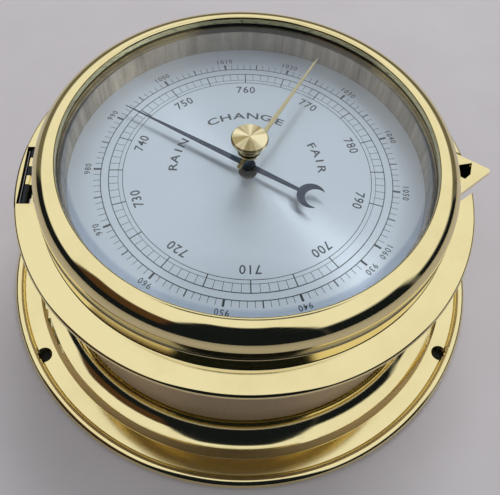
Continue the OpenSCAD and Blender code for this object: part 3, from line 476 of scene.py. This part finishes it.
def hinge_barrel(mat):
    """The case's leaf of the hinge, with the plain end of its barrel that fills the slot's near end;
    painted nearly black, it stands for the shade there.
    """
    mesh = bmesh.new()
    mesh.from_mesh(frame["nodes"]["hinge_case_leaf"].data)
    steps = 48
    turns = [2 * math.pi * i / steps for i in range(steps)]
    rows = []
    for y, r in ((BARREL_START, BARREL_R), (BARREL_END + BARREL_EDGE, BARREL_R),
                 (BARREL_END, BARREL_R - BARREL_EDGE)):
        ring = [(HINGE_X + r * math.cos(a), y, HINGE_Z + r * math.sin(a)) for a in turns]
        rows.append([mesh.verts.new(Vector(p) * MM) for p in ring])
    made = [mesh.faces.new(rows[0]), mesh.faces.new(rows[-1][::-1])]
    for near, far in zip(rows, rows[1:]):
        for i in range(steps):
            j = (i + 1) % steps
            made.append(mesh.faces.new((near[i], far[i], far[j], near[j])))
    bmesh.ops.recalc_face_normals(mesh, faces=made)
    piece = plain_object("hinge_barrel", mesh)
    shade_round(piece.data, mat)
    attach(piece, "case")
    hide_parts("hinge_case_leaf")


# Dial printing

def on_dial(bearing, radius):
    """The point at a bearing, clockwise from 12 o'clock, and a radius in mm."""
    a = math.radians(bearing)
    return Vector((math.sin(a) * radius, math.cos(a) * radius))


def prism(mesh, outline):
    """A thin closed prism over a flat outline in mm, given anticlockwise."""
    low = [mesh.verts.new((p[0] * MM, p[1] * MM, INK_FOOT * MM)) for p in outline]
    high = [mesh.verts.new((p[0] * MM, p[1] * MM, INK_TOP * MM)) for p in outline]
    mesh.faces.new(high)
    mesh.faces.new(low[::-1])
    for i in range(len(outline)):
        j = (i + 1) % len(outline)
        mesh.faces.new((low[i], low[j], high[j], high[i]))


def circle_line(mesh, radius, width, steps=240):
    """A closed ring of printing."""
    rows = []
    inside, outside = radius - width / 2, radius + width / 2
    for r, z in ((inside, INK_FOOT), (outside, INK_FOOT), (outside, INK_TOP), (inside, INK_TOP)):
        rows.append([mesh.verts.new((*(on_dial(360 * i / steps, r) * MM), z * MM)) for i in range(steps)])
    for a in range(4):
        b = (a + 1) % 4
        for i in range(steps):
            j = (i + 1) % steps
            mesh.faces.new((rows[a][i], rows[b][i], rows[b][j], rows[a][j]))


def mmhg_bearing(value):
    return MMHG_START + (value - MMHG[0]) * MMHG_STEP


def hpa_bearing(value):
    return HPA_START + (value - HPA[0]) * HPA_STEP


def tick(mesh, bearing, r0, r1, width):
    along = on_dial(bearing, 1)
    side = Vector((along.y, -along.x)) * width / 2
    near, far = along * r0, along * r1
    prism(mesh, [near - side, near + side, far + side, far - side])


def finish_piece(name, mesh, mat, body):
    bmesh.ops.recalc_face_normals(mesh, faces=mesh.faces)
    obj = plain_object(name, mesh)
    obj.data.materials.append(mat)
    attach(obj, body)


CAP_SHARE = 0.73        # height of a capital as a share of the font's size
WELD = 0.0005           # mm between points of a letter that are joined


def letter(mesh, text, size, place, turn, stretch, weight):
    """One letter or digit as a thin closed solid, centred on place and turned clockwise."""
    curve = bpy.data.curves.new("letter", "FONT")
    curve.body = text
    curve.size = size
    curve.align_x = "CENTER"
    curve.offset = weight
    curve.extrude = INK / 2
    curve.resolution_u = 3
    obj = bpy.data.objects.new("letter", curve)
    bpy.context.scene.collection.objects.link(obj)
    bpy.context.view_layer.update()
    flat = obj.evaluated_get(bpy.context.evaluated_depsgraph_get()).to_mesh()
    shape = bmesh.new()
    shape.from_mesh(flat)
    bmesh.ops.remove_doubles(shape, verts=shape.verts, dist=WELD)
    heights = [v.co.y for v in shape.verts]
    middle = (min(heights) + max(heights)) / 2
    spin = Matrix.Rotation(-math.radians(turn), 3, "Z")
    lift = DIAL_Z + INK / 6             # the letter's foot is then at INK_FOOT
    made = {}
    for v in shape.verts:
        p = spin @ Vector((v.co.x * stretch, v.co.y - middle, 0))
        made[v] = mesh.verts.new(((p.x + place.x) * MM, (p.y + place.y) * MM, (v.co.z + lift) * MM))
    for f in shape.faces:
        mesh.faces.new([made[v] for v in f.verts])
    shape.free()
    bpy.data.objects.remove(obj)
    bpy.data.curves.remove(curve)


def arc_text(mesh, text, bearing, radius, height, pitch, stretch, weight):
    """Text along a circle, tops outward, pitch mm between the middles of its letters."""
    step = math.degrees(pitch / radius)
    for i, sign in enumerate(text):
        at = bearing + (i - (len(text) - 1) / 2) * step
        letter(mesh, sign, height / CAP_SHARE, on_dial(at, radius), at, stretch, weight)


def dial_printing(ink):
    lines = bmesh.new()
    for radius, width in ((R_HPA, 0.3), (R_OUTER, 0.3), (R_MID, 0.15), (R_INNER, 0.22)):
        circle_line(lines, radius, width)
    finish_piece("scale_circles", lines, ink, "case")

    ticks = bmesh.new()
    for mmhg in MMHG:
        if mmhg % 5:
            tick(ticks, mmhg_bearing(mmhg), R_MID, R_OUTER, 0.16)
        else:
            tick(ticks, mmhg_bearing(mmhg), R_INNER, R_OUTER, 0.36)
    finish_piece("mmhg_ticks", ticks, ink, "case")

    ticks = bmesh.new()
    for hpa in HPA:
        length, width = 2.3, 0.17
        if hpa % 10 == 0:
            length, width = 2.5, 0.75
        elif hpa % 5 == 0:
            length, width = 2.5, 0.42
        tick(ticks, hpa_bearing(hpa), R_HPA, R_HPA + length, width)
    finish_piece("hpa_ticks", ticks, ink, "case")

    digits = bmesh.new()
    for mmhg in MMHG[::10]:
        arc_text(digits, str(mmhg), mmhg_bearing(mmhg), radius=37.9, height=3.25, pitch=2.4,
                 stretch=0.95, weight=0.05)
    for hpa in HPA[::10]:
        arc_text(digits, str(hpa), hpa_bearing(hpa), radius=52.9, height=2.1, pitch=1.6,
                 stretch=0.92, weight=0.03)
    finish_piece("scale_numbers", digits, ink, "case")

    words = bmesh.new()
    for text, bearing, pitch, stretch in (("CHANGE", -0.5, 4.85, 1.55), ("RAIN", -74, 3.75, 1.35),
                                          ("FAIR", 75, 3.55, 1.35)):
        arc_text(words, text, bearing, radius=25, height=2.9, pitch=pitch, stretch=stretch, weight=0.06)
    finish_piece("weather_words", words, ink, "case")


# Studio, its places in metres

FLOOR_HALF = 3.0
ROOM_Z = 0.06           # height of the middle that the room's panels stand round
SKY_LIGHT = 0.45        # strength with which the world lights the scene, where it is seen with 1


def floor():
    mat, tree, shader = material("floor")
    grain = node(tree, "TexNoise", {"Vector": object_coords(tree), "Scale": 30.0, "Detail": 4.0})
    colour = ramp(tree, grain.outputs["Fac"], [(0.3, (0.66, 0.61, 0.62)), (0.7, (0.7, 0.65, 0.66))])
    tree.links.new(colour, shader.inputs["Base Color"])
    shader.inputs["Roughness"].default_value = 0.5
    # Painted shade under the case, where it shows in the screw holes
    patch(mat, (0.015, 0.014, 0.013), 0.8, height=(-1.0, 1.0), distance=(-1.0, 87.0))
    data = bpy.data.meshes.new("floor")
    square = box_outline(-FLOOR_HALF, FLOOR_HALF, -FLOOR_HALF, FLOOR_HALF)
    data.from_pydata([(x, y, 0) for x, y in square], [], [(0, 1, 2, 3)])
    data.materials.append(mat)
    obj = bpy.data.objects.new("floor", data)
    bpy.context.scene.collection.objects.link(obj)


def world():
    made = bpy.data.worlds.new("world")
    bpy.context.scene.world = made
    made.use_nodes = True
    tree = made.node_tree
    tree.nodes.clear()
    sheen_rays = node(tree, "LightPath")
    seen = node(tree, "Math", {0: sheen_rays.outputs["Is Camera Ray"], 1: sheen_rays.outputs["Is Glossy Ray"]},
                operation="MAXIMUM")
    seen = node(tree, "Math", {0: seen.outputs[0], 1: sheen_rays.outputs["Is Transmission Ray"]},
                operation="MAXIMUM")
    strength = node(tree, "MapRange", {"Value": seen.outputs[0], "To Min": SKY_LIGHT, "To Max": 1.0})
    background = node(tree, "Background", {"Color": (0.93, 0.96, 1.0, 1), "Strength": strength.outputs[0]})
    output = node(tree, "OutputWorld")
    tree.links.new(background.outputs[0], output.inputs[0])


def card(name, azimuths, heights, colour, reach, blur=4.0):
    """A panel of the room that only reflections see, between two bearings and two heights in degrees.

    Its sides, its top and a raised foot fade out over blur degrees."""
    mat = bpy.data.materials.new(name)
    mat.use_nodes = True
    tree = mat.node_tree
    tree.nodes.clear()
    shade = node(tree, "Attribute", attribute_name="shade")
    clear = node(tree, "BsdfTransparent")
    glow = node(tree, "Emission", {"Color": (*colour, 1), "Strength": 1.0})
    both = node(tree, "MixShader", {0: shade.outputs["Fac"], 1: clear.outputs[0], 2: glow.outputs[0]})
    tree.links.new(both.outputs[0], node(tree, "OutputMaterial").inputs[0])
    steps = 48
    points, faces, shades = [], [], []
    for i in range(steps + 1):
        for j in range(steps + 1):
            a = math.radians(azimuths[0] + (azimuths[1] - azimuths[0]) * i / steps)
            e = math.radians(heights[0] + (heights[1] - heights[0]) * j / steps)
            points.append((reach * math.cos(a) * math.cos(e), reach * math.sin(a) * math.cos(e),
                           ROOM_Z + reach * math.sin(e)))
            inside = [abs(azimuths[1] - azimuths[0]) * min(i, steps - i) / steps,
                      abs(heights[1] - heights[0]) * (steps - j) / steps]
            if heights[0] > 0:
                inside.append(abs(heights[1] - heights[0]) * j / steps)
            shades.append(math.prod(min(1.0, depth / blur) for depth in inside))
    for i in range(steps):
        for j in range(steps):
            k = i * (steps + 1) + j
            faces.append((k, k + 1, k + steps + 2, k + steps + 1))
    data = bpy.data.meshes.new(name)
    data.from_pydata(points, [], faces)
    data.attributes.new("shade", "FLOAT", "POINT").data.foreach_set("value", shades)
    data.materials.append(mat)
    obj = bpy.data.objects.new(name, data)
    bpy.context.scene.collection.objects.link(obj)
    obj.visible_camera = obj.visible_diffuse = obj.visible_shadow = False


def room():
    """Dark parts of the room, which polished metal needs round it to look polished."""
    night, wood, dusk = (0.008, 0.011, 0.017), (0.075, 0.04, 0.022), (0.16, 0.155, 0.13)
    card("far_wall", (20, 160), (-2, 24), dusk, reach=1.62)
    card("wood_left", (185, 242), (-2, 50), wood, reach=1.58)
    card("low_wall_left", (150, 240), (-2, 24), night, reach=1.54)
    card("near_wall", (232, 306), (-2, 78), night, reach=1.5)
    card("side_wall", (296, 350), (-2, 40), night, reach=1.46, blur=8.0)
    card("low_wall_right", (340, 388), (-2, 22), night, reach=1.42, blur=8.0)
    card("beam", (60, 106), (60, 70.5), (0.1, 0.11, 0.09), reach=1.5, blur=3.0)


def lamp(name, place, target, size, power, colour, mirrored):
    """An area lamp; only a mirrored one shows in shiny surfaces."""
    data = bpy.data.lights.new(name, "AREA")
    data.shape = "RECTANGLE"
    data.size, data.size_y = size
    data.energy = power
    data.color = colour
    obj = bpy.data.objects.new(name, data)
    obj.visible_glossy = mirrored
    obj.visible_transmission = False
    turn = (Vector(target) - Vector(place)).to_track_quat("-Z", "Y").to_matrix().to_4x4()
    obj.matrix_world = Matrix.Translation(Vector(place)) @ turn
    bpy.context.scene.collection.objects.link(obj)
    return obj


def lights():
    middle = (0, 0, 0.03)
    lamp("window", (0.35, 1.1, 1.3), middle, size=(1.0, 0.8), power=13.0,
         colour=(0.95, 0.98, 1.0), mirrored=False)
    sheen = lamp("skylight", (0.85, 0.1, 1.33), middle, size=(0.5, 0.16), power=3.0,
                 colour=(0.93, 0.97, 1.0), mirrored=True)
    # The glass would mirror this lamp, so it lights the dial only
    lit = bpy.data.collections.new("dial_sheen")
    lit.objects.link(frame["nodes"]["dial"])
    sheen.light_linking.receiver_collection = lit


camera()
metals = finishes()
dress(metals)
door_shell(metals["door_brass"])
hinge_barrel(metals["steel"])
dial_printing(dial_ink())
floor()
world()
room()
lights()

bpy.context.scene.view_settings.view_transform = "Standard"
